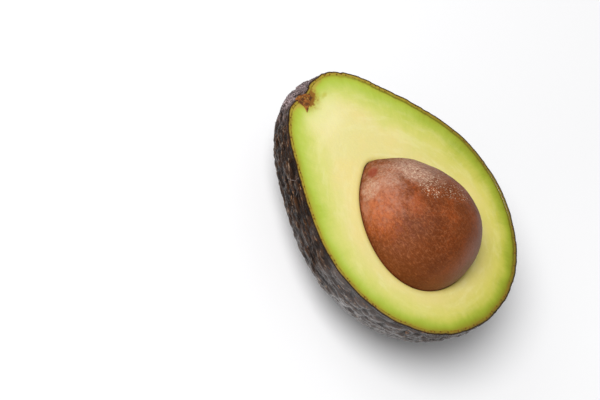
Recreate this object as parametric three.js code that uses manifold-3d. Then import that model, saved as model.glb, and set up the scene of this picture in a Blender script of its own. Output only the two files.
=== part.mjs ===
// Half of an avocado, cut lengthwise through its stem and lying on its back: the pebbled
// skin, the flesh, the stone that stayed in this half, and the halved stub of the stem.

import * as THREE from 'three';
import { mergeVertices } from 'three/addons/utils/BufferGeometryUtils.js';
import Module from 'manifold-3d';

// Driving dimensions, in millimetres. +X runs across the cut face, +Y towards the stem end
// and +Z up out of it. The fruit is shaped about a point of the cut face at mid length.
const fruitLength = 95;
// Half width of the cut face, as cosine terms from the stem end round to the blossom end:
// the mean, then the taper to the stem, and the fullness of the shoulders and the ends.
const widthTerms = [38.55, -4.6, 1.3, 1.8, 1.4, 0.4];
// Depth of the back over the half width, likewise: deepest for its width at the ends.
const depthTerms = [1.02, 0.11, 0.155];

const skinThickness = 1.2;
const gap = 0.3;
// Mean spacing of the skin's pebbles across and along the fruit, the height that one unit
// of the pebble formula stands for, and the value of the formula at the skin's mean level.
const pebbleAcross = 4.6;
const pebbleAlong = 6.2;
const pebbleRise = 0.9;
const pebbleMiddle = 0.32;

// The small flat spot that the half rests on, level with the ground.
const restDepth = 32.9;
const restCentre = new THREE.Vector2(0, -3.5);

const stoneRadius = 19.6;
const stoneLength = 45.2;
const stoneTaper = 0.15;
const stoneTipRise = 1.5;
const stoneTipSpread = 0.28;
const stoneSeat = new THREE.Vector3(-2.8, -8.6, 0);
const stoneTurn = -0.08;

// The stem grew a little to one side of the fruit's top, in a shallow dimple that has a
// raised shoulder at its back. Its axis points out of the fruit and leans to +X.
const stemSpot = new THREE.Vector3(-3.7, 47.2, 0);
const stemLean = -0.35;
const stemAxis = new THREE.Vector3(0, 1, 0).applyAxisAngle(new THREE.Vector3(0, 0, 1), stemLean);
const dimpleDepth = 2.4;
const dimpleRadius = 5.2;
const shoulderRise = 3.2;
const shoulderRadius = 8;
// How far below the cut the shoulder has come up to about two thirds of its height.
const shoulderDrop = 3;
// Radius of the stub and height along its axis, from the point of its root to its worn top.
const stubProfile = [[0, -5.2], [0.9, -3.3], [1.9, -1.7], [2.6, -0.6], [2.7, 0.1], [1.9, 0.6], [0, 0.7]];

// How finely each surface is divided: rings of a bowl, or strips round and along a solid.
const skinRings = 32;
const liningRings = 14;
const fleshRings = 13;
const stoneAround = 36;
const stoneAlong = 22;
const stubAround = 18;

const solids = await Module();
solids.setup();

// Turns a closed geometry into a solid that can be joined and cut.
function toSolid(geometry) {
  const bare = geometry.clone();
  bare.deleteAttribute('normal');
  bare.deleteAttribute('uv');
  const merged = mergeVertices(bare);
  const vertProperties = new Float32Array(merged.attributes.position.array);
  const triVerts = new Uint32Array(merged.index.array);
  return new solids.Manifold(new solids.Mesh({ numProp: 3, vertProperties, triVerts }));
}

// Turns a solid back into a named mesh with its own material.
function toMesh(name, solid, finish) {
  const { vertProperties, triVerts } = solid.getMesh();
  const geometry = new THREE.BufferGeometry();
  geometry.setAttribute('position', new THREE.BufferAttribute(vertProperties, 3));
  geometry.setIndex(new THREE.BufferAttribute(triVerts, 1));
  geometry.computeVertexNormals();
  const mesh = new THREE.Mesh(geometry, new THREE.MeshStandardMaterial(finish));
  mesh.name = name;
  return mesh;
}

// A block as wide as anything here, from the height low to the height high.
function slab(low, high) {
  const block = new THREE.BoxGeometry(2 * fruitLength, 2 * fruitLength, high - low);
  return toSolid(block.translate(0, 0, (low + high) / 2));
}

// The sum of the cosine terms at an angle.
function series(terms, angle) {
  return terms.reduce((sum, term, order) => sum + term * Math.cos(order * angle), 0);
}

// A number from 0 to 1 that is always the same for the same cell of space.
function chance(i, j, k, salt) {
  const wave = Math.sin(i * 127.1 + j * 311.7 + k * 74.7 + salt * 53.3) * 43758.5453;
  return wave - Math.floor(wave);
}

// Height of the skin's pebbles. Space is parted into cells drawn out along the fruit, with
// one pebble set at random in each, and a point takes its height from the nearest: a dome
// that falls away with the square of the distance.
function pebbleHeight(point) {
  const spot = [point.x / pebbleAcross, point.y / pebbleAlong, point.z / pebbleAcross];
  const cell = spot.map(Math.floor);
  let nearest = 2;
  for (let i = cell[0] - 1; i <= cell[0] + 1; i += 1) {
    for (let j = cell[1] - 1; j <= cell[1] + 1; j += 1) {
      for (let k = cell[2] - 1; k <= cell[2] + 1; k += 1) {
        const across = i + chance(i, j, k, 1) - spot[0];
        const along = j + chance(i, j, k, 2) - spot[1];
        const deep = k + chance(i, j, k, 3) - spot[2];
        nearest = Math.min(nearest, across ** 2 + along ** 2 + deep ** 2);
      }
    }
  }
  return pebbleRise * (pebbleMiddle - Math.min(nearest, 1));
}

// The fruit's surface in one direction from its middle, moved in all round by inset. The
// direction's parts are stretched by the half width, half length and depth that the fruit
// has there; then come the pebbles, if any, and the dimple and shoulder round the stem.
function fruitPoint(direction, inset, pebbled) {
  const angle = Math.acos(THREE.MathUtils.clamp(direction.y, -1, 1));
  const width = series(widthTerms, angle);
  const reach = new THREE.Vector3(width, fruitLength / 2, width * series(depthTerms, angle));
  const point = direction.clone().multiply(reach.clone().subScalar(inset));
  if (pebbled) {
    const outward = direction.clone().divide(reach).normalize();
    point.addScaledVector(outward, pebbleHeight(point));
  }
  const fromStem = point.distanceTo(stemSpot);
  const dimple = dimpleDepth * Math.exp(-((fromStem / dimpleRadius) ** 2));
  const behind = 1 - Math.exp(-((point.z / shoulderDrop) ** 2));
  const shoulder = shoulderRise * behind * Math.exp(-((fromStem / shoulderRadius) ** 2));
  return point.addScaledVector(stemAxis, shoulder - dimple);
}

// The back half of the fruit as a solid, moved in all round by inset. Its surface is laid
// out in rings from the bottom of the back to the rim, six more points in each ring than in
// the one before, so that the triangles stay near one size. The mouth rises to the height
// top, and the underside is cut level where the half rests.
function halfFruit(inset, rings, top, pebbled) {
  const corners = [];
  const faces = [];
  const ringStart = (ring) => (ring === 0 ? 0 : 1 + 3 * ring * (ring - 1));
  const corner = (ring, step) => (ring === 0 ? 0 : ringStart(ring) + (step % (6 * ring)));
  for (let ring = 0; ring <= rings; ring += 1) {
    const tilt = (ring / rings) * (Math.PI / 2);
    for (let step = 0; step < Math.max(1, 6 * ring); step += 1) {
      const turn = ring === 0 ? 0 : (step / (6 * ring)) * 2 * Math.PI;
      const flat = Math.sin(tilt);
      const down = ring === rings ? 0 : -Math.cos(tilt);
      const direction = new THREE.Vector3(flat * Math.cos(turn), flat * Math.sin(turn), down);
      corners.push(fruitPoint(direction, inset, pebbled));
    }
  }
  for (let ring = 1; ring <= rings; ring += 1) {
    for (let sector = 0; sector < 6; sector += 1) {
      for (let step = 0; step < ring; step += 1) {
        const inner = sector * (ring - 1) + step;
        const outer = sector * ring + step;
        faces.push(corner(ring - 1, inner), corner(ring, outer + 1), corner(ring, outer));
        if (step < ring - 1) {
          faces.push(corner(ring - 1, inner), corner(ring - 1, inner + 1), corner(ring, outer + 1));
        }
      }
    }
  }

  // The mouth: a wall up from the rim where top is above it, and a lid of triangles.
  const rimCount = 6 * rings;
  let lip = ringStart(rings);
  if (top > 0) {
    const rim = corners.slice(lip).map((point) => new THREE.Vector3(point.x, point.y, top));
    const raised = corners.length;
    corners.push(...rim);
    for (let step = 0; step < rimCount; step += 1) {
      const next = (step + 1) % rimCount;
      faces.push(lip + step, lip + next, raised + next);
      faces.push(lip + step, raised + next, raised + step);
    }
    lip = raised;
  }
  const middle = corners.push(new THREE.Vector3(0, 0, top)) - 1;
  for (let step = 0; step < rimCount; step += 1) {
    faces.push(lip + step, lip + ((step + 1) % rimCount), middle);
  }

  const bowl = new THREE.BufferGeometry().setFromPoints(corners);
  bowl.setIndex(faces);
  return toSolid(bowl).subtract(slab(-2 * restDepth, inset - restDepth));
}

// The stone: a ball drawn out along the fruit, slimmer and drawn to a blunt point at the
// stem end, and grown all round by grow for the hollow it sits in.
function stone(grow) {
  const ball = new THREE.SphereGeometry(1, stoneAround, stoneAlong);
  const place = ball.attributes.position;
  for (let i = 0; i < place.count; i += 1) {
    const direction = new THREE.Vector3().fromBufferAttribute(place, i);
    const angle = Math.acos(THREE.MathUtils.clamp(direction.y, -1, 1));
    const radius = stoneRadius * (1 - stoneTaper * direction.y) + grow;
    const tip = stoneTipRise * Math.exp(-((angle / stoneTipSpread) ** 2));
    place.setXYZ(
      i,
      radius * direction.x,
      (stoneLength / 2 + grow) * direction.y + tip,
      radius * direction.z,
    );
  }
  ball.rotateZ(stoneTurn);
  ball.translate(stoneSeat.x, stoneSeat.y, stoneSeat.z);
  return toSolid(ball);
}

// The stub of the stem with its pointed root, turned about the stem's axis and set at the
// bottom of the dimple, and grown all round by grow for the pocket it sits in.
function stemStub(grow) {
  const profile = stubProfile.map(([radius, height]) => {
    const rounded = radius > 0 ? radius + grow : 0;
    return new THREE.Vector2(rounded, height + grow * Math.sign(height));
  });
  const stub = new THREE.LatheGeometry(profile, stubAround);
  stub.rotateZ(stemLean);
  const foot = stemSpot.clone().addScaledVector(stemAxis, -dimpleDepth);
  stub.translate(foot.x, foot.y, foot.z);
  return toSolid(stub);
}

const aboveCut = slab(0, fruitLength);
const stemPocket = stemStub(gap);
const fleshInset = skinThickness + gap;

const skin = halfFruit(0, skinRings, 0, true)
  .subtract(halfFruit(skinThickness, liningRings, 1, false))
  .subtract(stemPocket);
const flesh = halfFruit(fleshInset, fleshRings, 0, false).subtract(stone(gap)).subtract(stemPocket);

const avocadoHalf = new THREE.Group();
avocadoHalf.position.set(-restCentre.x, -restCentre.y, restDepth);
avocadoHalf.add(
  toMesh('skin', skin, { color: 0x2b2125, roughness: 0.5, metalness: 0 }),
  toMesh('flesh', flesh, { color: 0xdcd98c, roughness: 0.45, metalness: 0 }),
  toMesh('stone', stone(0), { color: 0x84431f, roughness: 0.55, metalness: 0 }),
  toMesh('stem_stub', stemStub(0).subtract(aboveCut), { color: 0x8a5424, roughness: 0.9, metalness: 0 }),
);

export default avocadoHalf;
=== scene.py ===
"""Half of an avocado, cut lengthwise and lying on its back.

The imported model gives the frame. Each piece below takes the place of the plain solid of the
same name: the pebbled skin, the flesh, the stone, and the stub of the stem. Their sizes are in
millimetres, counted from the middle of the cut face, with +X across it, +Y towards the stem
end and +Z out of it. make_piece sets them into the frame.
"""

import bpy
import numpy as np
from mathutils import Matrix, Vector


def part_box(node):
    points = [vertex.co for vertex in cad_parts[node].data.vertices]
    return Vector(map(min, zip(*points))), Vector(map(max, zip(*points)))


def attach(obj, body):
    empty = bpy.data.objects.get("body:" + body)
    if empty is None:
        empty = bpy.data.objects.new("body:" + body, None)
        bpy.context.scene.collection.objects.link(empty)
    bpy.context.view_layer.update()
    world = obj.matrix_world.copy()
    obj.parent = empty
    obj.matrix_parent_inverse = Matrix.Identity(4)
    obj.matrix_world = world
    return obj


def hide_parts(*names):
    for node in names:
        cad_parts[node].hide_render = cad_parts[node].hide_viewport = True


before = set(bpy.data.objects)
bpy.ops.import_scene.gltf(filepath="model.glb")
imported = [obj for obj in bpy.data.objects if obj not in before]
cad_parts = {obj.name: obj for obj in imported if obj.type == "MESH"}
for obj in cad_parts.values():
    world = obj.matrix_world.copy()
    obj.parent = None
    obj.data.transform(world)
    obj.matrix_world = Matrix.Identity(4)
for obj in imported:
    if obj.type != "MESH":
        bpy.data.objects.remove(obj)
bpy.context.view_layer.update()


# ---------------------------------------------------------------------------- skin
# The skin is a tough, leathery rind about a millimetre thick, near black when ripe and
# raised all over in rough pebbles that run into wrinkles towards the stem. It grew round
# the flesh, and the knife has left its edge as a thin dark line round the cut face.

MM = 0.001
FRUIT_LENGTH = 95.0
WIDTH_TERMS = (38.55, -4.6, 1.3, 1.8, 1.4, 0.4)
DEPTH_TERMS = (1.02, 0.11, 0.155)
SKIN_THICKNESS = 1.2
REST_MIDDLE = 3.5
CUT_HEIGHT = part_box("flesh")[1][2] / MM

STEM_SPOT = np.array([-3.7, 47.2, 0.0])
STEM_LEAN = 0.35
STEM_AXIS = np.array([np.sin(STEM_LEAN), np.cos(STEM_LEAN), 0.0])
DIMPLE_DEPTH = 2.4
DIMPLE_RADIUS = 5.2
SHOULDER_RISE = 3.2
SHOULDER_RADIUS = 8.0
SHOULDER_DROP = 3.0

PEBBLE_SIZE = (4.6, 6.2, 4.6)
PEBBLE_RISE = 0.9
PEBBLE_MIDDLE = 0.32
GROOVE_DEPTH = 0.12
GROOVE_WIDTH = 0.14
GRANULE_SIZE = (2.4, 4.0, 2.4)
GRANULE_RISE = 0.75
GRANULE_MIDDLE = 0.4
WRINKLE_SIZE = (3.2, 8.0, 1.9)
WRINKLE_RISE = 0.40
FOLD_SIZE = (2.2, 13.0, 1.0)
FOLD_RISE = 0.42
FOLD_REACH = 24.0
PATCH_SIZE = 12.0
WARP_SIZE = 3.1
BEND_SIZE = 6.0
BEND_REACH = 1.8
GRAIN_GIRTH = 38.0
DEEPEST_CREASE = 0.75
RIM_CALM = 0.28
RIM_REACH = 3.0

SKIN_CELLS = 280
EDGE_ROUNDING = 0.10
EDGE_STEPS = (0.12, 0.3, 0.5, 0.75, 1.0)
LINING_ROWS = 8


def series(terms, angle):
    """The sum of the terms, each times the cosine of its order times the angle."""
    return sum(term * np.cos(order * angle) for order, term in enumerate(terms))


def chance(cell, salt):
    """A number from 0 to 1 that is always the same for the same whole-numbered cell."""
    wave = cell[..., 0] * 127.1 + cell[..., 1] * 311.7 + cell[..., 2] * 74.7
    wave = np.sin(wave + salt * 53.3) * 43758.5453
    return wave - np.floor(wave)


def nearest_pebbles(point, size, salt):
    """Parts space into cells of the given size with one pebble set at random in each.

    Gives the squared distances, counted in cells, from each point to the pebble nearest it
    and to the next one, and a random number that belongs to the nearest.
    """
    spot = point / size
    cell = np.floor(spot)
    first = np.full(spot.shape[:-1], 9.0)
    second = first.copy()
    mark = np.zeros_like(first)
    for step in np.ndindex(3, 3, 3):
        near = cell + np.array(step) - 1
        middle = near + np.stack([chance(near, salt + part) for part in range(3)], axis=-1)
        distance = ((middle - spot) ** 2).sum(axis=-1)
        closer = distance < first
        second = np.where(closer, first, np.minimum(second, distance))
        mark = np.where(closer, chance(near, salt + 3), mark)
        first = np.where(closer, distance, first)
    return first, second, mark


def smooth_noise(point, salt):
    """Random heights from -1 to 1 at whole-numbered places, joined by smooth curves."""
    cell = np.floor(point)
    part = point - cell
    ease = part ** 3 * (part * (part * 6 - 15) + 10)
    total = np.zeros(point.shape[:-1])
    for step in np.ndindex(2, 2, 2):
        corner = np.array(step)
        share = np.where(corner == 1, ease, 1 - ease).prod(axis=-1)
        total += share * chance(cell + corner, salt)
    return 2 * total - 1


def layered_noise(point, salt, layers=3):
    """Smooth noise with finer and fainter copies of itself laid over it."""
    return sum(smooth_noise(point * 2.03 ** k, salt + 7 * k) / 2 ** k for k in range(layers))


def wandering(point, size, salt):
    """A step from -1 to 1 in each direction, changing smoothly over the given size."""
    return np.stack([smooth_noise(point / size, salt + part) for part in range(3)], axis=-1)


def ease_between(low, high, value):
    """Rises in a smooth curve from 0 at low to 1 at high."""
    part = np.clip((value - low) / (high - low), 0, 1)
    return part * part * (3 - 2 * part)


def grain_of(point):
    """Lengthwise grain: how far round the fruit's long axis, how far along it, and 0."""
    around = np.arctan2(point[..., 0], -point[..., 2] + 1e-9)
    tall = np.clip(point[..., 1] / (FRUIT_LENGTH / 2), -1, 1)
    along = np.arccos(tall) * FRUIT_LENGTH / 2
    return np.stack([around * GRAIN_GIRTH, along, np.zeros_like(along)], axis=-1)


def pebble_relief(point):
    """Height of the skin's relief in millimetres.

    Each pebble is a dome that falls with the square of the distance from its middle, and
    is sunk a little along the line where it meets the next one. Smaller granules ride on
    the pebbles, and leave smooth patches between them. Wrinkles are creased smooth noise,
    drawn out lengthwise, and round the stem they run in towards it. All of it is calmer
    close to the cut.
    """
    warp = wandering(point, WARP_SIZE, 40)
    first, second, mark = nearest_pebbles(point + 0.35 * warp, PEBBLE_SIZE, 1)
    dome = PEBBLE_RISE * (PEBBLE_MIDDLE - np.minimum(first, 1)) * (0.8 + 0.4 * mark)
    border = np.sqrt(second) - np.sqrt(first)
    dome -= GROOVE_DEPTH * np.exp(-((border / GROOVE_WIDTH) ** 2))

    patches = ease_between(-0.35, 0.45, layered_noise(point / PATCH_SIZE, 70, 2))
    first, second, mark = nearest_pebbles(point + 0.6 * warp, GRANULE_SIZE, 11)
    granule = GRANULE_RISE * (GRANULE_MIDDLE - np.minimum(first, 1)) * (0.2 + 1.4 * mark)
    granule *= 0.3 + 0.7 * patches

    bent = point + BEND_REACH * wandering(point, BEND_SIZE, 50)
    wrinkle = 0.8 - 2 * np.abs(layered_noise(bent / WRINKLE_SIZE, 60, 2))
    wrinkle *= WRINKLE_RISE * (1 - 0.6 * patches)
    grain = grain_of(point)
    near_stem = np.exp(-((grain[..., 1] / FOLD_REACH) ** 2))
    folds = FOLD_RISE * (1 - 2.6 * np.abs(layered_noise(grain / FOLD_SIZE, 65, 2)))
    relief = (dome + granule + wrinkle) * (1 - 0.6 * near_stem) + folds * near_stem
    calm = np.maximum(ease_between(0, RIM_REACH, -point[..., 2]), 0.8 * near_stem)
    return np.maximum(relief, -DEEPEST_CREASE) * (RIM_CALM + (1 - RIM_CALM) * calm)


def fruit_point(direction, inset, relief=None):
    """The fruit's surface in each direction from its middle, in millimetres.

    The direction's parts are stretched by the half width, half length and depth that the
    fruit has at that angle from the stem end, less the inset. The relief lifts the point
    outwards. Last come the dimple round the stem, which falls off as a bell curve, and the
    shoulder at its back, a wider bell curve that rises from nothing at the cut plane.
    """
    angle = np.arccos(np.clip(direction[..., 1], -1, 1))
    width = series(WIDTH_TERMS, angle)
    length = np.full_like(width, FRUIT_LENGTH / 2)
    reach = np.stack([width, length, width * series(DEPTH_TERMS, angle)], axis=-1)
    point = direction * (reach - inset)
    if relief is not None:
        outward = direction / reach
        outward /= np.linalg.norm(outward, axis=-1, keepdims=True)
        point = point + outward * relief(point)[..., None]
    from_stem = np.linalg.norm(point - STEM_SPOT, axis=-1)
    dimple = DIMPLE_DEPTH * np.exp(-((from_stem / DIMPLE_RADIUS) ** 2))
    behind = 1 - np.exp(-((point[..., 2] / SHOULDER_DROP) ** 2))
    shoulder = SHOULDER_RISE * behind * np.exp(-((from_stem / SHOULDER_RADIUS) ** 2))
    return point + STEM_AXIS * (shoulder - dimple)[..., None]


def square_bowl(cells):
    """Directions over the lower half of a ball, on a square grid.

    Each square ring of the grid becomes a circle, whose slant from straight down is that
    ring's share of a right angle, so the cells stay near one size from pole to rim.
    """
    line = np.linspace(-1, 1, cells + 1)
    u, v = np.meshgrid(line, line, indexing="ij")
    wide = np.abs(u) > np.abs(v)
    ring = np.where(wide, u, v)
    safe = np.where(ring == 0, 1, ring)
    turn = np.where(wide, np.pi / 4 * v / safe, np.pi / 2 - np.pi / 4 * u / safe)
    slant = ring * np.pi / 2
    flat = np.sin(slant)
    down = np.where(np.abs(ring) == 1, 0, -np.cos(slant))
    return np.stack([flat * np.cos(turn), flat * np.sin(turn), down], axis=-1)


def square_faces(cells):
    """Triangles of the square grid, each cell cut along the line that leads from its middle."""
    index = np.arange((cells + 1) ** 2).reshape(cells + 1, cells + 1)
    a, b = index[:-1, :-1], index[1:, :-1]
    c, d = index[1:, 1:], index[:-1, 1:]
    side = np.arange(cells) < cells // 2
    same = side[:, None] == side[None, :]
    even = [np.stack(corners, axis=-1)[same] for corners in ((a, b, c), (a, c, d))]
    odd = [np.stack(corners, axis=-1)[~same] for corners in ((a, b, d), (b, c, d))]
    return np.concatenate(even + odd), index


def band_faces(lower, upper):
    """Triangles between two closed rings of as many points each."""
    after = np.roll(lower, -1)
    above = np.roll(upper, -1)
    return np.concatenate([
        np.stack([lower, after, above], axis=-1),
        np.stack([lower, above, upper], axis=-1),
    ])


def make_piece(name, points, faces, slot, material, **marks):
    """Makes a smooth piece from points in millimetres about the fruit's middle.

    The triangles are turned to face outwards, which the sign of the volume inside them
    tells. Each mark is a number or a vector for every point, kept for the material to read.
    """
    a, b, c = (points[faces[:, corner]] for corner in range(3))
    if np.einsum("ij,ij->i", a, np.cross(b, c)).sum() < 0:
        faces = faces[:, ::-1]
    placed = (points + (0.0, REST_MIDDLE, CUT_HEIGHT)) * MM
    mesh = bpy.data.meshes.new(name)
    mesh.vertices.add(len(points))
    mesh.vertices.foreach_set("co", placed.astype(np.float32).ravel())
    mesh.loops.add(faces.size)
    mesh.loops.foreach_set("vertex_index", np.ascontiguousarray(faces, np.int32).ravel())
    mesh.polygons.add(len(faces))
    mesh.polygons.foreach_set("loop_start", np.arange(0, faces.size, 3, dtype=np.int32))
    for mark, values in marks.items():
        wide = values.ndim > 1
        layer = mesh.attributes.new(mark, "FLOAT_VECTOR" if wide else "FLOAT", "POINT")
        layer.data.foreach_set("vector" if wide else "value", values.astype(np.float32).ravel())
    mesh.update(calc_edges=True)
    mesh.validate()
    mesh.shade_smooth()
    mesh.materials.append(material)
    piece = bpy.data.objects.new(name, mesh)
    bpy.context.scene.collection.objects.link(piece)
    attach(piece, "root")
    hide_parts(slot)


def distance_to_ring(point, ring):
    """The distance in the cut plane from each point to the nearest point of a ring.

    A batch of points is set against the whole ring at once, which bounds the memory used.
    """
    batch = 4000
    nearest = [
        ((point[start:start + batch, None, :2] - ring[None, :, :2]) ** 2).sum(axis=-1).min(axis=1)
        for start in range(0, len(point), batch)
    ]
    return np.sqrt(np.concatenate(nearest))


def skin_surface():
    """The skin as one closed shell: its outside, the cut edge, and a plain lining.

    Gives its points and triangles, how far each point of the cut edge lies inside the
    outline, in millimetres, and the outline.
    """
    outside = fruit_point(square_bowl(SKIN_CELLS), 0.0, pebble_relief)
    faces, index = square_faces(SKIN_CELLS)
    edge = np.concatenate([index[-1, :-1], index[:0:-1, -1], index[0, :0:-1], index[:-1, 0]])
    edge_direction = square_bowl(SKIN_CELLS).reshape(-1, 3)[edge]

    points = [outside.reshape(-1, 3)]
    depths = [np.zeros(len(points[0]))]
    all_faces = [faces]
    outer = points[0][edge]
    inner = fruit_point(edge_direction, SKIN_THICKNESS)
    points[0][edge, 2] -= EDGE_ROUNDING
    ring = edge
    count = len(points[0])
    for part in EDGE_STEPS:
        points.append(outer + (inner - outer) * part)
        depths.append(distance_to_ring(points[-1], outer))
        following = np.arange(count, count + len(edge))
        all_faces.append(band_faces(ring, following))
        ring = following
        count += len(edge)

    for row in range(1, LINING_ROWS):
        slant = np.pi / 2 * (1 - row / LINING_ROWS)
        turned = edge_direction * np.sin(slant)
        turned[:, 2] = -np.cos(slant)
        points.append(fruit_point(turned, SKIN_THICKNESS))
        depths.append(np.full(len(edge), SKIN_THICKNESS))
        following = np.arange(count, count + len(edge))
        all_faces.append(band_faces(ring, following))
        ring = following
        count += len(edge)
    points.append(fruit_point(np.array([[0.0, 0.0, -1.0]]), SKIN_THICKNESS))
    depths.append(np.array([SKIN_THICKNESS]))
    closing = np.stack([ring, np.roll(ring, -1), np.full(len(ring), count)], axis=-1)
    all_faces.append(closing)

    points = np.concatenate(points)
    points[:, 2] = np.maximum(points[:, 2], -CUT_HEIGHT)
    return points, np.concatenate(all_faces), np.concatenate(depths), outer


def paint(red, green, blue):
    """A colour given as 0 to 255 on a screen, as the light-linear colour that shaders use."""
    part = np.array([red, green, blue]) / 255
    linear = np.where(part <= 0.04045, part / 12.92, ((part + 0.055) / 1.055) ** 2.4)
    return (*linear.tolist(), 1.0)


def add_node(tree, kind, inputs=None, **settings):
    """Adds a node, sets it up, and fills each input with a value or a link."""
    node = tree.nodes.new("ShaderNode" + kind)
    for name, value in settings.items():
        setattr(node, name, value)
    for socket, value in (inputs or {}).items():
        if isinstance(value, bpy.types.NodeSocket):
            tree.links.new(value, node.inputs[socket])
        else:
            node.inputs[socket].default_value = value
    return node


def stretched(tree, place, scale):
    """The place with each of its parts scaled, which draws a pattern out or squeezes it."""
    return add_node(tree, "Mapping", {"Vector": place, "Scale": scale}).outputs[0]


def noise(tree, place, scale, detail=3.0, rough=0.5):
    """Cloudy noise from 0 to 1, with its features 1 / scale across.

    A scale for each of the three directions draws the features out.
    """
    if isinstance(scale, tuple):
        place, scale = stretched(tree, place, scale), 1.0
    inputs = {"Vector": place, "Scale": scale, "Detail": detail, "Roughness": rough}
    return add_node(tree, "TexNoise", inputs).outputs[0]


def spread(tree, value, low, high, first, last):
    """Goes evenly from first to last as the value goes from low to high."""
    inputs = {"Value": value, "From Min": low, "From Max": high, "To Min": first, "To Max": last}
    return add_node(tree, "MapRange", inputs).outputs[0]


def fade(tree, value, low, high):
    """Rises in a smooth curve from 0 at low to 1 at high, or falls where low is larger."""
    first, last = (1.0, 0.0) if low > high else (0.0, 1.0)
    faded = spread(tree, value, min(low, high), max(low, high), first, last)
    faded.node.interpolation_type = "SMOOTHSTEP"
    return faded


def combine(tree, operation, *values):
    """Adds, multiplies or otherwise joins numbers, one after the other."""
    total = values[0]
    for value in values[1:]:
        total = add_node(tree, "Math", {0: total, 1: value}, operation=operation).outputs[0]
    return total


def plus(tree, *values):
    """The sum of numbers."""
    return combine(tree, "ADD", *values)


def times(tree, *values):
    """The product of numbers."""
    return combine(tree, "MULTIPLY", *values)


def swing(tree, place, scale, detail=3.0, rough=0.5):
    """Cloudy noise from -0.5 to 0.5, which makes a border wander to and fro."""
    return combine(tree, "SUBTRACT", noise(tree, place, scale, detail, rough), 0.5)


def join_vectors(tree, operation, first, second):
    """Adds or subtracts two vectors, or gives their distance or dot product as a number."""
    node = add_node(tree, "VectorMath", {0: first, 1: second}, operation=operation)
    return node.outputs["Value" if operation in ("DISTANCE", "DOT_PRODUCT") else "Vector"]


def close_to(tree, value, middle, outer, inner=0.0):
    """Falls from 1 where the value is within inner of the middle to 0 at outer from it."""
    away = combine(tree, "SUBTRACT", value, middle)
    away = add_node(tree, "Math", {0: away}, operation="ABSOLUTE").outputs[0]
    return fade(tree, away, outer, inner)


def mix(tree, share, first, second):
    """Goes from the first colour to the second as the share goes from 0 to 1."""
    inputs = {0: share, 6: first, 7: second}
    return add_node(tree, "Mix", inputs, data_type="RGBA").outputs[2]


def laid(tree, under, over, *shares):
    """One colour laid over another, by the product of shares that go from 0 to 1."""
    return mix(tree, times(tree, *shares), under, over)


def ramp(tree, value, stops):
    """A colour for each value from 0 to 1, blended between the stops."""
    node = add_node(tree, "ValToRGB", {0: value})
    elements = node.color_ramp.elements
    while len(elements) < len(stops):
        elements.new(0.5)
    for element, (position, colour) in zip(elements, stops):
        element.position = position
        element.color = colour
    return node.outputs[0]


def new_material(name, **finish):
    """A material with a Principled shader, and the values that are the same all over it."""
    material = bpy.data.materials.new(name)
    material.use_nodes = True
    shader = material.node_tree.nodes["Principled BSDF"]
    for socket, value in finish.items():
        shader.inputs[socket.replace("_", " ")].default_value = value
    return material, material.node_tree, shader


def set_bump(tree, shader, height, strength, deep):
    """Roughens the shading by a height from 0 to 1 that stands for so many millimetres."""
    bump = add_node(tree, "Bump", {"Strength": strength, "Distance": deep * MM, "Height": height})
    tree.links.new(bump.outputs[0], shader.inputs["Normal"])


def object_place(tree):
    """The point's place in the frame, in millimetres."""
    place = add_node(tree, "TexCoord").outputs["Object"]
    return stretched(tree, place, (1 / MM, 1 / MM, 1 / MM))


def mark_of(tree, name, output="Fac"):
    """A mark that the mesh carries for every point."""
    return add_node(tree, "Attribute", attribute_name=name).outputs[output]


EDGE_RIND = paint(44, 32, 22)
EDGE_FLECK = paint(104, 60, 26)
EDGE_LINE = paint(140, 84, 30)
EDGE_OLIVE = paint(100, 94, 8)
UPPER_SHADES = (
    (0.0, EDGE_RIND),
    (0.34, paint(62, 46, 28)),
    (0.55, paint(152, 126, 50)),
    (0.9, paint(168, 148, 54)),
    (1.4, paint(168, 162, 50)),
    (2.0, paint(173, 182, 60)),
    (3.0, paint(179, 197, 74)),
    (4.0, paint(187, 202, 87)),
    (6.0, paint(204, 210, 108)),
    (8.5, paint(217, 216, 126)),
    (13.0, paint(228, 219, 148)),
)
# The lower shades are darker than the upper, which is painted shade, and more olive.
LOWER_SHADES = (
    (0.0, EDGE_RIND),
    (0.34, paint(54, 44, 26)),
    (0.55, paint(110, 94, 38)),
    (0.9, paint(124, 106, 32)),
    (1.4, paint(134, 126, 34)),
    (2.0, paint(138, 142, 34)),
    (3.0, paint(153, 164, 46)),
    (4.0, paint(170, 177, 58)),
    (5.5, paint(193, 190, 76)),
    (8.0, paint(213, 204, 98)),
    (13.0, paint(225, 210, 118)),
)
LINE_DEPTH = 1.15
OLIVE_DEPTH = 1.55

# A heading, how closely a place must face it for the sway to start and to be full, and how
# far the green then gives way, or reaches further in where the number is below 0.
GREEN_SWAYS = (
    ((0.87, 0.50, 0.0), 0.60, 0.92, -0.32),
    ((-0.50, -0.87, 0.0), 0.70, 0.98, 0.18),
    ((-0.64, 0.77, 0.0), 0.85, 0.98, -0.2),
)


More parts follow.
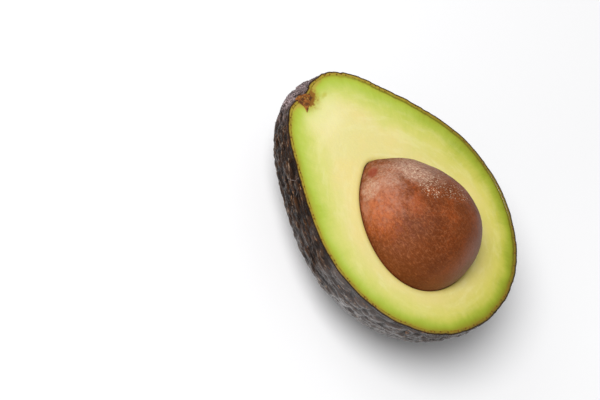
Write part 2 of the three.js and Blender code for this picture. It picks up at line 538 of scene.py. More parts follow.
def cut_colours():
    """A node group: the cut face's colour by the distance in millimetres from its outline.

    The rind is a dark line, then ochre with brown dots, a broken brown line on its inner
    side, and on the side of +X an olive one beyond that. The flesh goes from green through
    yellow to cream, in short streaks that run inwards. It is more olive, and yellow sooner,
    towards the blossom end and +X, and darker there, which is painted shade.
    """
    tree = bpy.data.node_groups.new("cut colours", "ShaderNodeTree")
    for name, kind in (("Depth", "NodeSocketFloat"), ("Place", "NodeSocketVector")):
        tree.interface.new_socket(name=name, in_out="INPUT", socket_type=kind)
    tree.interface.new_socket(name="Colour", in_out="OUTPUT", socket_type="NodeSocketColor")
    given = tree.nodes.new("NodeGroupInput")
    depth, place = given.outputs["Depth"], given.outputs["Place"]

    ragged = swing(tree, place, 1.5, 3.0, 0.6)
    drift = swing(tree, place, 0.13)
    across, along, _ = add_node(tree, "SeparateXYZ", {0: place}).outputs
    level = add_node(tree, "CombineXYZ", {0: across, 1: along}).outputs[0]
    heading = add_node(tree, "VectorMath", {0: level}, operation="NORMALIZE").outputs[0]
    inwards = add_node(tree, "CombineXYZ", {2: times(tree, depth, 0.22)}).outputs[0]
    fanned = join_vectors(tree, "ADD", stretched(tree, heading, (26.0, 26.0, 1.0)), inwards)
    streaks = swing(tree, fanned, 1.0, 3.0, 0.6)
    broad = plus(tree, times(tree, drift, 4.5), times(tree, streaks, 2.4))
    past_rind = combine(tree, "MAXIMUM", combine(tree, "SUBTRACT", depth, 1.5), 0.0)
    for towards, low, high, sway in GREEN_SWAYS:
        turned = fade(tree, join_vectors(tree, "DOT_PRODUCT", heading, towards), low, high)
        broad = plus(tree, broad, times(tree, turned, sway, past_rind))
    broad = times(tree, broad, fade(tree, depth, 0.8, 5.0))
    shifted = plus(tree, depth, times(tree, ragged, 0.35), broad)

    widest = UPPER_SHADES[-1][0]
    share = combine(tree, "DIVIDE", shifted, widest)
    upper, lower = (
        ramp(tree, share, [(at / widest, shade) for at, shade in shades])
        for shades in (UPPER_SHADES, LOWER_SHADES)
    )
    # Towards the blossom end and +X the lower shades take over; their darkness is painted shade.
    lowness = join_vectors(tree, "DOT_PRODUCT", place, (0.6, -0.8, 0.0))
    colour = mix(tree, fade(tree, lowness, -30.0, 45.0), upper, lower)

    inputs = {"Vector": place, "Scale": 0.60}
    dots = add_node(tree, "TexVoronoi", inputs, voronoi_dimensions="2D").outputs["Distance"]
    band = times(tree, fade(tree, depth, 0.2, 0.5), fade(tree, depth, 1.7, 1.1))
    colour = laid(tree, colour, EDGE_FLECK, fade(tree, dots, 0.24, 0.12), band, 0.8)
    line = plus(tree, depth, times(tree, ragged, 0.7))
    line = close_to(tree, line, LINE_DEPTH, 0.24, 0.06)
    broken = fade(tree, noise(tree, place, 0.8, 3.0, 0.6), 0.48, 0.60)
    colour = laid(tree, colour, EDGE_LINE, line, broken, 0.6)
    olive = plus(tree, depth, times(tree, ragged, 0.5))
    olive = close_to(tree, olive, OLIVE_DEPTH, 0.5, 0.1)
    sideways = add_node(tree, "SeparateXYZ", {0: heading}).outputs[0]
    colour = laid(tree, colour, EDGE_OLIVE, olive, fade(tree, sideways, 0.1, 0.6), 0.7)
    tree.links.new(colour, tree.nodes.new("NodeGroupOutput").inputs[0])
    return tree


CUT_COLOURS = cut_colours()


def cut_colour(tree, depth, place):
    """The cut face's colour, from the node group that the skin's edge and the flesh share."""
    node = tree.nodes.new("ShaderNodeGroup")
    node.node_tree = CUT_COLOURS
    tree.links.new(depth, node.inputs["Depth"])
    tree.links.new(place, node.inputs["Place"])
    return node.outputs["Colour"]


SKIN_BLACK = paint(16, 9, 6)
SKIN_BROWN = paint(52, 31, 15)
SKIN_CREST_WEAR_AND_HIGHLIGHT = paint(96, 66, 42)
SKIN_WORN_AND_GLINT = paint(150, 128, 108)
SKIN_SLATE = paint(44, 34, 30)
SKIN_PEWTER = paint(66, 55, 50)
SPOT_RUST = paint(128, 78, 42)
SPOT_TAN = paint(166, 124, 90)
SCRATCH_PALE = paint(150, 140, 138)
STEM_MAUVE_AND_HIGHLIGHT = paint(196, 174, 176)


def skin_material():
    """Leathery: near black and brown towards the stem, slate grey and glossy with wax
    towards the blossom end, where the wax thins again; the slate grey is partly painted sheen.
    It is paler on its crests, partly from wear and partly painted highlight, with pale worn
    streaks that are also painted glints, and painted shade darkens its creases. It has corky
    specks in its creases, a few pale scratches, and patches of mauve streaks, partly painted
    highlight, that run in to the stem and are fainter down its back.
    """
    material, tree, shader = new_material("skin", Specular_IOR_Level=0.05, Coat_Roughness=0.20)
    place = object_place(tree)
    drawn = stretched(tree, place, (0.60, 0.28, 1.0))
    height = mark_of(tree, "height")
    depth = mark_of(tree, "depth")

    clouds = noise(tree, place, 0.08)
    _, along, level = add_node(tree, "SeparateXYZ", {0: place}).outputs
    waxed_and_sheen = combine(tree, "SUBTRACT", times(tree, clouds, 60.0), along)
    waxed_and_sheen = fade(tree, waxed_and_sheen, 10.0, 44.0)
    streaked = fade(tree, noise(tree, drawn, 0.75, 4.0, 0.6), 0.38, 0.62)
    dark_part = mix(tree, streaked, SKIN_BLACK, SKIN_BROWN)
    # Paler crests: partly wear, partly painted highlight.
    crest = fade(tree, height, 0.1, 0.65)
    dark_part = laid(tree, dark_part, SKIN_CREST_WEAR_AND_HIGHLIGHT, crest, streaked, 0.6)
    # The slate grey towards the blossom end is partly painted sheen.
    grey_and_sheen_part = mix(tree, streaked, SKIN_SLATE, SKIN_PEWTER)
    colour = mix(tree, waxed_and_sheen, dark_part, grey_and_sheen_part)
    # Pale worn streaks on the crests, which are also painted glints.
    worn = fade(tree, noise(tree, drawn, 1.4, 2.0), 0.58, 0.68)
    colour = laid(tree, colour, SKIN_WORN_AND_GLINT, worn, fade(tree, height, -0.05, 0.30), 0.55)
    # Painted shade: darker in the creases.
    colour = laid(tree, colour, SKIN_BLACK, fade(tree, height, 0.16, -0.42), 0.9)

    grain = mark_of(tree, "grain", "Vector")
    from_stem = add_node(tree, "SeparateXYZ", {0: grain}).outputs[1]
    ribs = fade(tree, noise(tree, grain, (0.9, 0.14, 1.0)), 0.44, 0.64)
    near_stem = fade(tree, from_stem, 26.0, 4.0)
    cloudy = noise(tree, place, 0.35)
    patchy = fade(tree, cloudy, 0.36, 0.54)
    patchy = combine(tree, "MAXIMUM", patchy, fade(tree, from_stem, 14.0, 6.0))
    fainter = spread(tree, level, 12.0, 27.0, 0.45, 1.0)
    # Mauve streaks round the stem, partly painted highlight.
    colour = laid(tree, colour, STEM_MAUVE_AND_HIGHLIGHT, ribs, near_stem, patchy, 0.85, fainter)

    torn = add_node(tree, "TexNoise", {"Vector": place, "Scale": 1.2, "Detail": 2.0})
    torn = join_vectors(tree, "ADD", drawn, torn.outputs["Color"])
    specks = add_node(tree, "TexVoronoi", {"Vector": torn, "Scale": 0.85})
    lot = add_node(tree, "SeparateColor", {0: specks.outputs["Color"]}).outputs
    speckled = fade(tree, specks.outputs["Distance"], 0.30, 0.16)
    few = fade(tree, lot[0], 0.70, 0.85)
    speck = mix(tree, lot[1], SPOT_RUST, SPOT_TAN)
    colour = laid(tree, colour, speck, speckled, few, fade(tree, height, 0.40, 0.10), 0.6)

    sway = add_node(tree, "TexNoise", {"Vector": place, "Scale": 0.05, "Detail": 1.0})
    sway = stretched(tree, sway.outputs["Color"], (30.0, 30.0, 30.0))
    inputs = {"Vector": join_vectors(tree, "ADD", place, sway), "Scale": 0.030}
    lines = add_node(tree, "TexVoronoi", inputs, feature="DISTANCE_TO_EDGE")
    scratch = fade(tree, lines.outputs["Distance"], 0.0045, 0.0015)
    colour = laid(tree, colour, SCRATCH_PALE, scratch, fade(tree, clouds, 0.50, 0.56), 0.45)

    on_edge = fade(tree, depth, 0.02, 0.12)
    colour = mix(tree, on_edge, colour, cut_colour(tree, depth, place))
    tree.links.new(colour, shader.inputs["Base Color"])

    gloss = spread(tree, cloudy, 0.3, 0.7, 0.20, 0.34)
    tree.links.new(gloss, shader.inputs["Roughness"])
    thinned = spread(tree, fade(tree, along, -16.0, -40.0), 0.0, 1.0, 0.90, 0.28)
    wax = plus(tree, times(tree, waxed_and_sheen, thinned), 0.01)
    tree.links.new(wax, shader.inputs["Coat Weight"])

    fine = noise(tree, place, 2.4, 3.0, 0.6)
    rough = plus(tree, noise(tree, drawn, 1.1), times(tree, fine, 0.15))
    set_bump(tree, shader, rough, 1.0, 0.50)
    return material


skin_points, skin_faces, skin_depth, skin_outline = skin_surface()
make_piece(
    "avocado_skin",
    skin_points,
    skin_faces,
    "skin",
    skin_material(),
    depth=skin_depth,
    grain=grain_of(skin_points),
    height=pebble_relief(skin_points),
)


# ---------------------------------------------------------------------------- flesh
# The flesh is one soft, oily body, green next to the skin and cream towards the stone. The
# knife left its face flat and smooth, and lifting the stone's other half bared the edge of
# the hollow that this half of the fruit still holds it in.

STONE_RADIUS = 19.6
STONE_LENGTH = 45.2
STONE_TAPER = 0.15
STONE_TIP_RISE = 1.5
STONE_TIP_SPREAD = 0.28
STONE_SEAT = np.array([-2.8, -8.6, 0.0])
STONE_TURN = -0.08
HOLLOW_GAP = 0.22
KNIFE_WAVE = 0.10
KNIFE_WAVE_SIZE = (22.0, 34.0, 1.0)
KNIFE_WAVE_START = 3.0
LIP_ROUNDING = 0.3

FLESH_AROUND = 600
FLESH_WALL_ROWS = 12
FLESH_FACE_ROWS = 84
FLESH_HOLLOW_ROWS = 16


def stone_point(direction, grow):
    """The stone's surface in each direction from its middle, grown all round by grow.

    It is a ball drawn out along the fruit, slimmer towards the stem end, where it is drawn
    to a blunt point, then turned a little and moved to its seat.
    """
    angle = np.arccos(np.clip(direction[..., 1], -1, 1))
    radius = STONE_RADIUS * (1 - STONE_TAPER * direction[..., 1]) + grow
    tip = STONE_TIP_RISE * np.exp(-((angle / STONE_TIP_SPREAD) ** 2))
    along = (STONE_LENGTH / 2 + grow) * direction[..., 1] + tip
    cosine, sine = np.cos(STONE_TURN), np.sin(STONE_TURN)
    x = radius * direction[..., 0]
    z = radius * direction[..., 2]
    turned = np.stack([x * cosine - along * sine, x * sine + along * cosine, z], axis=-1)
    return turned + STONE_SEAT


def round_directions(around, slant):
    """Directions in a ring round straight down, at a slant from it."""
    turn = np.linspace(0, 2 * np.pi, around, endpoint=False)
    flat = np.sin(slant)
    down = np.full(around, -np.cos(slant))
    return np.stack([flat * np.cos(turn), flat * np.sin(turn), down], axis=-1)


def wrapped_surface(rows, first, last):
    """Points and triangles of rows of points that close round, capped by a point each end."""
    count, around = rows.shape[:2]
    points = np.concatenate([rows.reshape(-1, 3), [first, last]])
    index = np.arange(count * around).reshape(count, around)
    faces = [band_faces(index[row], index[row + 1]) for row in range(count - 1)]
    start, end = count * around, count * around + 1
    for ring, cap in ((index[0][::-1], start), (index[-1], end)):
        faces.append(np.stack([ring, np.roll(ring, -1), np.full(around, cap)], axis=-1))
    return points, np.concatenate(faces)


def flesh_surface():
    """The flesh as one closed surface: up the wall, over the cut face, down the hollow.

    The face's rows lie on straight lines from the fruit's edge to the hollow's. It dips
    by a hair in broad waves where the knife went, and rounds over into the hollow.
    """
    rows = []
    for slant in np.linspace(0, np.pi / 2, FLESH_WALL_ROWS + 1)[1:-1]:
        rows.append(fruit_point(round_directions(FLESH_AROUND, slant), SKIN_THICKNESS))
    rim = fruit_point(round_directions(FLESH_AROUND, np.pi / 2), SKIN_THICKNESS)
    lip = stone_point(round_directions(FLESH_AROUND, np.pi / 2), HOLLOW_GAP)
    for share in (1 - np.cos(np.linspace(0, np.pi, FLESH_FACE_ROWS + 1))) / 2:
        row = rim + (lip - rim) * share
        from_rim = np.linalg.norm(row - rim, axis=-1)
        from_lip = np.linalg.norm(row - lip, axis=-1)
        waves = KNIFE_WAVE * (1 + smooth_noise(row / KNIFE_WAVE_SIZE, 90))
        waves *= ease_between(0, KNIFE_WAVE_START, from_rim)
        row[:, 2] = -waves - LIP_ROUNDING * np.exp(-from_lip / LIP_ROUNDING)
        rows.append(row)
    for slant in np.linspace(np.pi / 2, 0, FLESH_HOLLOW_ROWS + 1)[1:-1]:
        rows.append(stone_point(round_directions(FLESH_AROUND, slant), HOLLOW_GAP))
    down = np.array([0.0, 0.0, -1.0])
    points, faces = wrapped_surface(
        np.stack(rows), fruit_point(down, SKIN_THICKNESS), stone_point(down, HOLLOW_GAP)
    )
    hollow = stone_point(round_directions(2 * FLESH_AROUND, np.pi / 2), HOLLOW_GAP)
    from_skin = distance_to_ring(points, skin_outline)
    return points, faces, from_skin, distance_to_ring(points, hollow)


FLESH_WARM = paint(233, 216, 142)
FLESH_PALE = paint(238, 231, 172)
FLESH_DARKER_LIP = paint(200, 178, 92)
PALE_MIDDLE = (-2.5, 36.5, 0.0)
STAIN_STRAW = paint(186, 160, 70)
STAIN_RUST = paint(136, 84, 30)
STAIN_MIDDLE = (-3.4, 44.6, 0.0)
STAIN_REACH = 6.5
FLECK_OLIVE = paint(186, 180, 62)
FLECK_MIDDLE = (2.6, 41.0, 0.0)
FLECK_SHAPE = (0.5, 1.0, 1.0)
FLESH_MIDDLE = (0.0, REST_MIDDLE, CUT_HEIGHT)


def flesh_material():
    """Oily and faintly see-through: the shared cut colours, warmer in patches, with pale
    streaks that run round the stone, and palest between the stone and the stem. The lip of
    the hollow is darker. Round the stem the flesh is stained rust and straw, with an olive
    fleck beside the stain.
    """
    material, tree, shader = new_material(
        "flesh",
        Roughness=0.42,
        IOR=1.42,
        Specular_IOR_Level=0.28,
        Subsurface_Weight=0.15,
        Subsurface_Radius=(1.0, 0.8, 0.3),
        Subsurface_Scale=1.5 * MM,
    )
    place = object_place(tree)
    from_middle = join_vectors(tree, "SUBTRACT", place, FLESH_MIDDLE)
    from_skin = mark_of(tree, "from_skin")
    from_stone = mark_of(tree, "from_stone")
    colour = cut_colour(tree, from_skin, place)
    warmth = fade(tree, noise(tree, place, 0.06), 0.42, 0.62)
    colour = laid(tree, colour, FLESH_WARM, warmth, fade(tree, from_skin, 8.0, 16.0), 0.7)

    across = add_node(tree, "CombineXYZ", {2: times(tree, from_stone, 0.30)}).outputs[0]
    rings = join_vectors(tree, "ADD", across, stretched(tree, place, (0.10, 0.10, 0.10)))
    pale = fade(tree, noise(tree, rings, 1.0, 5.0, 0.65), 0.46, 0.66)
    colour = laid(tree, colour, FLESH_PALE, pale, fade(tree, from_skin, 3.0, 10.0), 0.30)
    paler = fade(tree, join_vectors(tree, "DISTANCE", from_middle, PALE_MIDDLE), 12.0, 3.0)
    colour = laid(tree, colour, FLESH_PALE, paler, 0.6, fade(tree, from_skin, 3.0, 8.0))
    # Darker round the lip of the hollow.
    colour = laid(tree, colour, FLESH_DARKER_LIP, fade(tree, from_stone, 2.0, 0.0), 0.55)

    ragged = swing(tree, place, 0.7, 4.0, 0.7)
    fleck = stretched(tree, join_vectors(tree, "SUBTRACT", from_middle, FLECK_MIDDLE), FLECK_SHAPE)
    fleck = join_vectors(tree, "DISTANCE", fleck, (0.0, 0.0, 0.0))
    fleck = fade(tree, plus(tree, fleck, times(tree, ragged, 1.2)), 1.1, 0.3)
    colour = laid(tree, colour, FLECK_OLIVE, fleck, 0.6)

    reach = join_vectors(tree, "DISTANCE", from_middle, STAIN_MIDDLE)
    reach = plus(tree, reach, times(tree, ragged, 5.0))
    at_rind = times(tree, fade(tree, from_skin, 3.0, 1.2), 4.5)
    straw = fade(tree, combine(tree, "SUBTRACT", reach, at_rind), STAIN_REACH, 3.0)
    colour = laid(tree, colour, STAIN_STRAW, straw, 0.75)
    colour = laid(tree, colour, STAIN_RUST, fade(tree, reach, 4.4, 3.0), 0.9)
    tree.links.new(colour, shader.inputs["Base Color"])
    set_bump(tree, shader, noise(tree, place, 0.5, 4.0, 0.55), 0.5, 0.15)
    return material


flesh_points, flesh_faces, flesh_from_skin, flesh_from_stone = flesh_surface()
make_piece(
    "avocado_flesh",
    flesh_points,
    flesh_faces,
    "flesh",
    flesh_material(),
    from_skin=flesh_from_skin,
    from_stone=flesh_from_stone,
)


# ---------------------------------------------------------------------------- stone
# The stone is one hard seed in a thin brown coat that dries papery, patched and finely
# fibrous. It sits loose in its hollow, with its blunt point towards the stem.

DENT_SIZE = 8.0
DENT_DEPTH = 0.26
DENT_SINK = 0.05
DENT_START = 5.0
FIBRE_SIZE = (0.8, 2.4, 0.8)
FIBRE_RISE = 0.04

STONE_AROUND = 400
STONE_ALONG = 230


def stone_surface():
    """The stone as a closed surface: the egg shape with shallow dents and a fibrous coat.

    The dents die away towards the cut plane, where the stone meets its hollow. Gives its
    points and triangles, and the direction of each point from the stone's middle.
    """
    around = np.linspace(0, 2 * np.pi, STONE_AROUND, endpoint=False)
    angle = np.linspace(0, np.pi, STONE_ALONG + 1)[1:-1, None]
    flat = np.sin(angle)
    level = np.broadcast_to(np.cos(angle), (STONE_ALONG - 1, STONE_AROUND))
    direction = np.stack([flat * np.cos(around), level, flat * np.sin(around)], axis=-1)
    place = direction * STONE_RADIUS
    away = ease_between(0.0, DENT_START, np.abs(place[..., 2]))
    dents = DENT_DEPTH * layered_noise(place / DENT_SIZE, 120, 2) - DENT_SINK
    fibres = FIBRE_RISE * layered_noise(place / FIBRE_SIZE, 130, 3)
    rows = stone_point(direction, dents * away + fibres)
    ends = np.array([[0.0, side, 0.0] for side in (1.0, -1.0)])
    tips = [stone_point(end, 0.0) for end in ends]
    return *wrapped_surface(rows, *tips), np.concatenate([direction.reshape(-1, 3), ends])


STONE_BROWN = paint(118, 54, 16)
STONE_DARK = paint(88, 41, 18)
STONE_ORANGE = paint(146, 67, 23)
STONE_SALMON = paint(176, 110, 82)
STONE_MAROON = paint(116, 60, 46)
STONE_RED = paint(136, 58, 42)
STONE_GLOW = paint(172, 82, 30)
STONE_VEIL = paint(160, 116, 98)
STONE_HAIR = paint(196, 128, 88)
STONE_DEEPER_PAINTED_SHADE = paint(108, 52, 16)
STONE_PAINTED_SHADE = paint(86, 42, 14)
STONE_FIBRE_AND_PAINTED_LIGHT = paint(170, 100, 57)
STONE_DUST = paint(194, 158, 136)
STONE_ASH = paint(190, 158, 136)
STONE_MAUVE_BLOOM_AND_SHEEN = paint(150, 112, 96)
STONE_CREAM_FLAKES_AND_GLINTS = paint(230, 206, 176)

FLAKED_SIDES = (
    (0.05, 0.62, 0.78),
    (0.20, 0.30, 0.93),
    (0.17, 0.08, 0.98),
    (0.36, 0.0, 0.93),
)


def stone_material():
    """Dry seed coat: reddish brown with a fine mottle and crossing hairs, and painted shade low
    on the side of -X, with a smudged salmon and orange cheek streaked in maroon, a pale veil
    and a red spot near the tip, painted light on the side of +X and at the round end, and a
    mauve bloom there that is partly painted sheen. A band of pale dust with painted cream
    glints in it runs from the tip over the top, and cream flakes lie beyond its end.
    """
    material, tree, shader = new_material(
        "stone",
        Roughness=0.5,
        Specular_IOR_Level=0.11,
        Sheen_Weight=0.03,
        Sheen_Roughness=0.35,
        Sheen_Tint=paint(226, 200, 210),
    )
    place = object_place(tree)
    heading = mark_of(tree, "heading", "Vector")
    fine = noise(tree, place, 1.5, 3.0, 0.75)
    broad = noise(tree, place, 0.20, 3.0, 0.55)
    uneven = swing(tree, place, 0.45, 5.0, 0.8)
    strands = noise(tree, place, (1.9, 0.6, 1.9), 4.0, 0.7)
    papery = fade(tree, strands, 0.16, 0.56)
    dusty = fade(tree, noise(tree, place, (1.4, 0.7, 1.4), 5.0, 0.8), 0.30, 0.68)
    smudged = fade(tree, noise(tree, place, (0.8, 0.28, 0.8), 5.0, 0.8), 0.16, 0.64)
    streaked = fade(tree, noise(tree, place, (1.2, 0.25, 1.2), 4.0, 0.7), 0.48, 0.60)
    veiled = fade(tree, noise(tree, place, (0.5, 0.28, 0.5), 5.0, 0.7), 0.44, 0.62)
    lengthwise = close_to(tree, noise(tree, place, (0.7, 0.25, 0.7), 2.0), 0.5, 0.026)
    crossing = close_to(tree, noise(tree, place, (0.3, 0.6, 0.5), 2.0), 0.5, 0.022)
    hairs = combine(tree, "MAXIMUM", lengthwise, crossing)

    def facing(towards, low, high, wander):
        """From 0 to 1 as the surface turns to face a direction, with an uneven border."""
        turned = join_vectors(tree, "DOT_PRODUCT", heading, towards)
        return fade(tree, plus(tree, turned, times(tree, uneven, wander)), low, high)

    def patched(under, patches):
        """Lays patches of other colours over one.

        A patch has its colour, the direction it faces, the turn at which it starts and is
        full, how far its border wanders, and its shares.
        """
        for over, towards, low, high, wander, *shares in patches:
            under = laid(tree, under, over, facing(towards, low, high, wander), *shares)
        return under

    colour = mix(tree, fade(tree, broad, 0.44, 0.70), STONE_BROWN, STONE_ORANGE)
    colour = laid(tree, colour, STONE_DARK, fade(tree, broad, 0.46, 0.32), 0.35)
    colour = laid(tree, colour, STONE_DARK, fade(tree, fine, 0.66, 0.36), 0.70)
    colour = patched(colour, (
        # Painted shade low on the side of -X, in two layers.
        (STONE_PAINTED_SHADE, (-0.90, -0.35, 0.15), 0.20, 0.98, 0.30, 0.70),
        (STONE_DEEPER_PAINTED_SHADE, (-0.88, -0.25, 0.35), 0.80, 0.98, 0.20, 0.55),
        # Painted light on the side of +X and at the round end, in the pale fibre colour.
        (STONE_FIBRE_AND_PAINTED_LIGHT, (0.75, -0.45, 0.45), 0.15, 0.80, 0.20, 0.15),
        (STONE_FIBRE_AND_PAINTED_LIGHT, (0.0, -0.99, 0.1), 0.63, 0.92, 0.12, 0.35),
        (STONE_SALMON, (-0.67, 0.61, 0.42), 0.86, 0.99, 0.20, 0.85, smudged),
        (STONE_GLOW, (-0.86, 0.36, 0.36), 0.91, 0.995, 0.16, 0.55, smudged),
        (STONE_MAROON, (-0.74, 0.42, 0.52), 0.75, 0.95, 0.20, 0.45, streaked),
        (STONE_GLOW, (-0.45, 0.22, 0.86), 0.975, 0.997, 0.04, 0.25),
        (STONE_VEIL, (-0.45, 0.80, 0.40), 0.66, 0.94, 0.20, 0.50, veiled),
    ))
    colour = laid(tree, colour, STONE_FIBRE_AND_PAINTED_LIGHT, fade(tree, strands, 0.48, 0.76), 0.45)
    colour = patched(colour, (
        (STONE_HAIR, (-0.40, 0.50, 0.77), -0.2, 0.80, 0.0, 0.20, hairs),
    ))

    across, stemwards = (0.93, 0.10, -0.14), (0.0, 1.0, 0.0)
    band = times(
        tree,
        facing(across, -0.36, -0.06, 0.30),
        facing(across, 1.0, 0.72, 0.10),
        facing(stemwards, 0.08, 0.60, 0.20),
        facing(stemwards, 0.99, 0.80, 0.06),
        0.78,
    )
    inner = times(tree, facing((-0.32, 0.75, 0.58), 0.955, 0.99, 0.07), 0.5)
    top = facing((0.07, 0.60, 0.80), 0.94, 0.99, 0.08)
    band = combine(tree, "MAXIMUM", band, inner, top)
    colour = laid(tree, colour, STONE_DUST, band, 0.95, dusty)
    colour = patched(colour, (
        (STONE_ASH, (-0.57, 0.78, 0.25), 0.965, 0.995, 0.05, 0.75, dusty),
        (STONE_RED, (-0.30, 0.92, 0.25), 0.989, 0.998, 0.01, 0.75),
        # The mauve bloom on the round end is partly painted sheen.
        (STONE_MAUVE_BLOOM_AND_SHEEN, (0.45, -0.88, 0.15), 0.55, 0.92, 0.10, 0.85, papery),
    ))

    # Painted cream glints in the dust band.
    colour = laid(tree, colour, STONE_CREAM_FLAKES_AND_GLINTS, band, fade(tree, fine, 0.57, 0.67), 0.42)
    chipped = fade(tree, noise(tree, place, 2.0, 2.0, 0.6), 0.56, 0.66)
    flaked = facing((-0.05, 0.30, 0.95), 0.97, 0.99, 0.05)
    for towards in FLAKED_SIDES:
        flaked = combine(tree, "MAXIMUM", flaked, facing(towards, 0.975, 0.992, 0.05))
    colour = laid(tree, colour, STONE_CREAM_FLAKES_AND_GLINTS, chipped, flaked, 0.64)
    tree.links.new(colour, shader.inputs["Base Color"])
    set_bump(tree, shader, plus(tree, strands, times(tree, fine, 0.5)), 0.8, 0.18)
    return material


stone_points, stone_faces, stone_heading = stone_surface()
make_piece(
    "avocado_stone",
    stone_points,
    stone_faces,
    "stone",
    stone_material(),
    heading=stone_heading,
)


# ---------------------------------------------------------------------------- stem stub
# The stub is what is left of the fruit's stalk: brown corky tissue that runs down into the
# flesh in a ragged point. The knife split it lengthwise with the fruit.

STUB_PROFILE = ((0.0, -5.6), (0.8, -3.8), (1.6, -2.3), (2.6, -1.1), (2.7, 0.0), (1.9, 0.6))
STUB_TOP = 0.7
ROOT_BEND = 1.3
TEAR_ROUND = 2.4
TEAR_SCALE = 0.9
TEAR_DEPTH = 0.22
FRAY_SCALE = 3.0
FRAY_DEPTH = 0.10
FACE_HEIGHT = 0.10
FACE_GRAIN = 0.6
FACE_RISE = 0.14
STUB_AROUND = 160
STUB_ALONG = 90


def stub_surface():
    """The stub: its profile turned about the stem's axis, bent sideways towards its point
    by the square of the depth, torn in and out by layered noise, and pressed flat where it
    rises above the cut, which leaves a rough level face there.
    """
    reach, height = np.array(STUB_PROFILE).T
    share = np.linspace(0, len(reach) - 1, STUB_ALONG + 1)[1:]
    radius = np.interp(share, np.arange(len(reach)), reach)[:, None]
    level = np.interp(share, np.arange(len(reach)), height)[:, None]
    around = np.linspace(0, 2 * np.pi, STUB_AROUND, endpoint=False)[None, :]
    place = np.stack([
        TEAR_ROUND * np.cos(around) + 0 * level,
        TEAR_ROUND * np.sin(around) + 0 * level,
        level + 0 * around,
    ], axis=-1)
    torn = TEAR_DEPTH * layered_noise(place * TEAR_SCALE, 150, 4)
    torn += FRAY_DEPTH * layered_noise(place * FRAY_SCALE, 155, 2)
    radius = radius * (1 + torn)
    bend = ROOT_BEND * (np.minimum(level, 0) / STUB_PROFILE[0][1]) ** 2
    across = radius * np.cos(around) - bend
    deep = radius * np.sin(around)
    rows = np.stack([across, level + 0 * around, deep], axis=-1)
    ends = np.array([[-ROOT_BEND, STUB_PROFILE[0][1], 0.0], [0.0, STUB_TOP, 0.0]])
    foot = STEM_SPOT - DIMPLE_DEPTH * STEM_AXIS
    side = np.array([STEM_AXIS[1], -STEM_AXIS[0], 0.0])
    turn = np.stack([side, STEM_AXIS, np.array([0.0, 0.0, 1.0])])
    rows = rows @ turn + foot
    ends = ends @ turn + foot
    face = FACE_HEIGHT + FACE_RISE * layered_noise(rows / FACE_GRAIN, 160, 3)
    rows[..., 2] = np.where(rows[..., 2] > 0, face, rows[..., 2])
    return wrapped_surface(rows, *ends)


STUB_RUST = paint(160, 96, 38)
STUB_BROWN = paint(96, 56, 26)
STUB_STRAW = paint(190, 146, 72)


def stub_material():
    """Dry cork: rust brown, darker in its cracks and straw coloured where fibres are torn."""
    material, tree, shader = new_material("stem_stub", Roughness=0.85, Specular_IOR_Level=0.3)
    place = object_place(tree)
    patches = noise(tree, place, 0.7, 4.0, 0.65)
    fibres = noise(tree, place, (1.8, 0.8, 1.8), 4.0, 0.7)
    colour = mix(tree, fade(tree, patches, 0.42, 0.60), STUB_BROWN, STUB_RUST)
    colour = mix(tree, fade(tree, fibres, 0.52, 0.68), colour, STUB_STRAW)
    tree.links.new(colour, shader.inputs["Base Color"])
    set_bump(tree, shader, fibres, 1.0, 0.4)
    return material


stub_points, stub_faces = stub_surface()
make_piece("avocado_stem_stub", stub_points, stub_faces, "stem_stub", stub_material())


# ---------------------------------------------------------------------------- floor and light
# A plain pale floor and plain studio light: a broad soft key from high on the side of -X
# and the stem end, a small near lamp that makes that end a little brighter, a low strip on
# the side of -X whose light glances off the skin, and a dim even surround. Places and
# sizes here are in metres, in the frame.

FLOOR_SIZE = 6.0
FLOOR_COLOUR = paint(251, 251, 252)

floor_mesh = bpy.data.meshes.new("floor")
half = FLOOR_SIZE / 2
floor_corners = [(-half, -half, 0), (half, -half, 0), (half, half, 0), (-half, half, 0)]
floor_mesh.from_pydata(floor_corners, [], [(0, 1, 2, 3)])
floor = bpy.data.objects.new("floor", floor_mesh)
bpy.context.scene.collection.objects.link(floor)
floor_material, _, _ = new_material("floor", Base_Color=FLOOR_COLOUR, Roughness=0.9)
floor_mesh.materials.append(floor_material)

KEY_FROM = Vector((-0.46, 0.36, 0.81))
KEY_SPREAD = np.radians(32)
KEY_STRENGTH = 2.72
NEAR_PLACE = Vector((-0.06, 0.20, 0.19))
NEAR_AIM = Vector((0.0, 0.03, 0.03))
NEAR_SIZE = 0.12
NEAR_POWER = 0.11
SIDE_PLACE = Vector((-0.70, 0.16, 0.10))
SIDE_AIM = Vector((0.0, 0.0, 0.02))
SIDE_SIZE = (0.50, 0.06)
SIDE_POWER = 1.8
SURROUND_LIGHT = 0.24


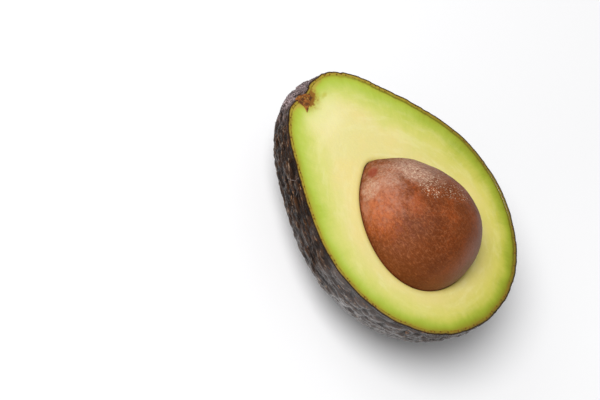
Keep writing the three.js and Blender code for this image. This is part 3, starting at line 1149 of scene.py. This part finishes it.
def add_lamp(name, kind, place, aim):
    """A lamp at a place, turned towards its aim and not itself seen by the camera."""
    light = bpy.data.lights.new(name, kind)
    lamp = bpy.data.objects.new(name, light)
    lamp.location = place
    lamp.rotation_mode = "QUATERNION"
    lamp.rotation_quaternion = (aim - place).to_track_quat("-Z", "Y")
    lamp.visible_camera = False
    bpy.context.scene.collection.objects.link(lamp)
    return light


key_light = add_lamp("key_lamp", "SUN", KEY_FROM, Vector((0.0, 0.0, 0.0)))
key_light.angle = KEY_SPREAD
key_light.energy = KEY_STRENGTH
near_light = add_lamp("near_lamp", "AREA", NEAR_PLACE, NEAR_AIM)
near_light.size = NEAR_SIZE
near_light.energy = NEAR_POWER
side_light = add_lamp("side_lamp", "AREA", SIDE_PLACE, SIDE_AIM)
side_light.shape = "RECTANGLE"
side_light.size, side_light.size_y = SIDE_SIZE
side_light.energy = SIDE_POWER

world = bpy.data.worlds.new("surround")
world.use_nodes = True
surround = world.node_tree.nodes["Background"]
seen = add_node(world.node_tree, "LightPath").outputs["Is Camera Ray"]
brightness = spread(world.node_tree, seen, 0.0, 1.0, SURROUND_LIGHT, 1.0)
surround.inputs["Color"].default_value = (1.0, 1.0, 1.0, 1.0)
world.node_tree.links.new(brightness, surround.inputs["Strength"])
bpy.context.scene.world = world
bpy.context.scene.view_settings.view_transform = "Standard"


# ---------------------------------------------------------------------------- camera
# It looks down on the cut face from beside the stem end, turned so that the fruit's length
# runs from the upper left of the view to the lower right.

CAMERA_PLACE = np.array([-425.34, 52.35, 505.98]) * MM
CAMERA_RIGHT = (0.57431, -0.63721, 0.51394)
CAMERA_UP = (0.51292, 0.76938, 0.38075)
CAMERA_BACK = (-0.63803, 0.04495, 0.7687)
CAMERA_SENSOR = 36.0
CAMERA_LENS = 120.0

camera_data = bpy.data.cameras.new("camera")
camera_data.sensor_width = CAMERA_SENSOR
camera_data.lens = CAMERA_LENS
camera_data.clip_start = 0.05
camera_data.clip_end = 10.0
camera = bpy.data.objects.new("camera", camera_data)
turn = Matrix((CAMERA_RIGHT, CAMERA_UP, CAMERA_BACK)).transposed().to_4x4()
camera.matrix_world = Matrix.Translation(Vector(CAMERA_PLACE)) @ turn
bpy.context.scene.collection.objects.link(camera)
bpy.context.scene.camera = camera
